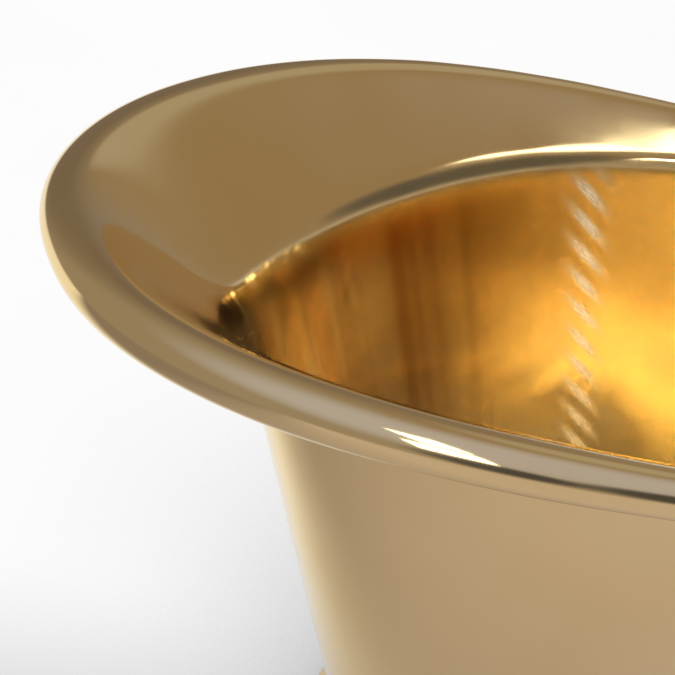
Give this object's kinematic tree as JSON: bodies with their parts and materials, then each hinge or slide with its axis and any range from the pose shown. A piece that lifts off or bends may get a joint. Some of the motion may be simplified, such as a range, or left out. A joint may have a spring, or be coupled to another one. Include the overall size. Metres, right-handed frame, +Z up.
{
  "type": "slipper bathtub",
  "caption": "Free-standing slipper bathtub in polished sheet brass: raised headrest brim, rolled rim, brazed side seams, plinth skirt, levelling feet and a pop-up waste.",
  "frame": {"origin": "on the floor under the middle of the rim", "axes": "+X from the raised end towards the low end, +Y across the tub, +Z up"},
  "size_m": [1.6739, 0.76, 0.8143],
  "materials": {
    "polished_brass": "mirror-polished sheet brass",
    "braze": "brazed and planished, pale ripples",
    "core_steel": "plain steel tube",
    "frame_paint": "satin black stove enamel",
    "rubber": "matt black rubber",
    "zinc_steel": "zinc plate",
    "waste_brass": "polished brass casting",
    "slip_plastic": "natural nylon",
    "spring_steel": "bright spring wire"
  },
  "bodies": {
    "tub": {"slipper_end_shell": "polished_brass", "slipper_end_rolled_rim": "polished_brass", "low_end_shell": "polished_brass", "low_end_rolled_rim": "polished_brass", "floor_pan": "polished_brass", "plinth_skirt": "polished_brass", "brazed_seam_left": "braze", "brazed_seam_right": "braze", "slipper_end_rim_core": "core_steel", "low_end_rim_core": "core_steel", "frame_rail_left": "frame_paint", "frame_rail_right": "frame_paint", "head_bearer": "frame_paint", "middle_bearer": "frame_paint", "low_bearer": "frame_paint", "bearer_pads": "rubber", "waste_gasket": "rubber", "pan_washer": "rubber", "pan_studs": "zinc_steel", "stud_washers": "zinc_steel", "stud_nuts": "zinc_steel", "foot_bushes": "zinc_steel", "foot_lock_nuts": "zinc_steel", "waste_body": "waste_brass", "waste_back_nut": "waste_brass", "latch_barrel": "waste_brass", "slip_washer": "slip_plastic", "latch_spring": "spring_steel"},
    "plug": {"plug_cap": "waste_brass", "plug_seal": "rubber", "plug_stem": "waste_brass"},
    "foot_head_left": {"foot_screw_head_left": "zinc_steel", "foot_sole_head_left": "rubber"},
    "foot_head_right": {"foot_screw_head_right": "zinc_steel", "foot_sole_head_right": "rubber"},
    "foot_low_left": {"foot_screw_low_left": "zinc_steel", "foot_sole_low_left": "rubber"},
    "foot_low_right": {"foot_screw_low_right": "zinc_steel", "foot_sole_low_right": "rubber"}
  },
  "joints": [
    {"name": "plug_lift", "type": "slide", "parent": "tub", "child": "plug", "axis": [0, 0, 1], "range_m": [0, 0.01], "deforming": ["latch_spring"]},
    {"name": "foot_head_left_screw", "type": "slide", "parent": "tub", "child": "foot_head_left", "axis": [0, 0, -1], "range_m": [-0.008, 0.02]},
    {"name": "foot_head_right_screw", "type": "slide", "parent": "tub", "child": "foot_head_right", "axis": [0, 0, -1], "range_m": [-0.008, 0.02]},
    {"name": "foot_low_left_screw", "type": "slide", "parent": "tub", "child": "foot_low_left", "axis": [0, 0, -1], "range_m": [-0.008, 0.02]},
    {"name": "foot_low_right_screw", "type": "slide", "parent": "tub", "child": "foot_low_right", "axis": [0, 0, -1], "range_m": [-0.008, 0.02]}
  ]
}
